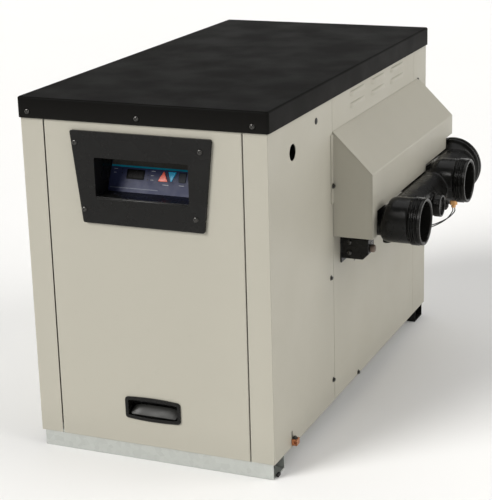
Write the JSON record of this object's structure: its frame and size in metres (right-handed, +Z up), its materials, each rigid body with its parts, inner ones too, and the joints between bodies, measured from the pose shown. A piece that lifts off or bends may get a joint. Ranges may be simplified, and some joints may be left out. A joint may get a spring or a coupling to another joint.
{
  "type": "gas pool heater",
  "caption": "Low-profile gas heater for pool water: beige steel cabinet, black lid, hinged front door with recessed keypad, side hood over a black two-port water header.",
  "frame": {"origin": "centre of the underside of the cabinet's base, on the floor", "axes": "+Z up, the door faces -Y, the water header stands out on +X"},
  "size_m": [0.733, 1.06, 0.762],
  "materials": {
    "painted_steel": "satin warm beige powder coat",
    "lid_paint": "fine-textured black powder coat",
    "galvanised": "spangled zinc sheet",
    "black_plastic": "moulded black plastic, satin",
    "keypad_film": "printed polyester film",
    "display_lens": "dark tinted lens",
    "red_key": "red",
    "cyan_key": "cyan",
    "grey_key": "dark grey",
    "circuit_board": "green laminate",
    "brass": "machined",
    "copper": "copper",
    "black_rubber": "matt",
    "cast_iron": "as cast",
    "refractory": "fibrous insulating board",
    "black_screw": "black oxide",
    "dial_grey": "grey"
  },
  "bodies": {
    "cabinet": {"side_panel_left": "painted_steel", "side_panel_right_front": "painted_steel", "side_panel_right_rear": "painted_steel", "back_panel": "painted_steel", "hood_cover": "painted_steel", "hood_end_front": "painted_steel", "top_lid": "lid_paint", "base_pan": "galvanised", "base_rail_front": "galvanised", "base_rail_middle": "galvanised", "front_top_rail": "galvanised", "divider_panel": "galvanised", "burner_tray": "galvanised", "flue_collector": "galvanised", "exhaust_collar": "galvanised", "blower_motor": "galvanised", "gas_valve": "galvanised", "base_rail_rear": "black_plastic", "header_manifold": "black_plastic", "inlet_fitting": "black_plastic", "outlet_fitting": "black_plastic", "header_end_cap": "black_plastic", "bypass_cap": "black_plastic", "drain_plug": "black_plastic", "pressure_switch": "black_plastic", "blower_housing": "black_plastic", "thermowell": "brass", "bonding_lug": "copper", "exchanger_tube_1": "copper", "exchanger_tube_2": "copper", "exchanger_tube_3": "copper", "sensor_wire_upper": "black_rubber", "sensor_wire_lower": "black_rubber", "wire_grommet": "black_rubber", "tube_sheet": "cast_iron", "return_header": "cast_iron", "gas_inlet_pipe": "cast_iron", "burner_feed_pipe": "cast_iron", "transformer": "cast_iron", "combustion_chamber": "refractory", "lid_screw_left": "black_screw", "lid_screw_middle": "black_screw", "lid_screw_right": "black_screw", "hood_screw": "black_screw"},
    "door": {"door_panel": "painted_steel", "pull_handle": "black_plastic", "bezel": "black_plastic", "control_housing": "black_plastic", "keypad_overlay": "keypad_film", "display_window": "display_lens", "control_board": "circuit_board"},
    "up_key": {"up_button": "red_key"},
    "down_key": {"down_button": "cyan_key"},
    "mode_key": {"mode_button": "grey_key"},
    "blower_rotor": {"blower_wheel": "galvanised"},
    "bypass_valve": {"bypass_poppet": "brass"},
    "gas_knob": {"gas_valve_knob": "red_key"},
    "pressure_knob": {"pressure_dial": "dial_grey"}
  },
  "joints": [
    {"name": "door_hinge", "type": "hinge", "parent": "cabinet", "child": "door", "pos_m": [0, -0.525, 0.7184], "axis": [-1, 0, 0], "range_deg": [0, 40]},
    {"name": "up_key_press", "type": "slide", "parent": "door", "child": "up_key", "axis": [0, 0.8988, -0.4384], "range_m": [0, 0.0012], "stiffness_N_per_m": 400},
    {"name": "down_key_press", "type": "slide", "parent": "door", "child": "down_key", "axis": [0, 0.8988, -0.4384], "range_m": [0, 0.0012], "stiffness_N_per_m": 400},
    {"name": "mode_key_press", "type": "slide", "parent": "door", "child": "mode_key", "axis": [0, 0.8988, -0.4384], "range_m": [0, 0.0012], "stiffness_N_per_m": 400},
    {"name": "blower_spin", "type": "hinge", "parent": "cabinet", "child": "blower_rotor", "pos_m": [0, -0.31, 0.25], "axis": [1, 0, 0], "continuous": true},
    {"name": "bypass_lift", "type": "slide", "parent": "cabinet", "child": "bypass_valve", "axis": [1, 0, 0], "range_m": [0, 0.006], "stiffness_N_per_m": 300},
    {"name": "gas_knob_turn", "type": "hinge", "parent": "cabinet", "child": "gas_knob", "pos_m": [0.0625, -0.379, 0.686], "axis": [0, 0, 1], "range_deg": [0, 90]},
    {"name": "pressure_knob_turn", "type": "hinge", "parent": "cabinet", "child": "pressure_knob", "pos_m": [0.3334, -0.105, 0.376], "axis": [1, 0, 0], "range_deg": [-135, 135]}
  ]
}
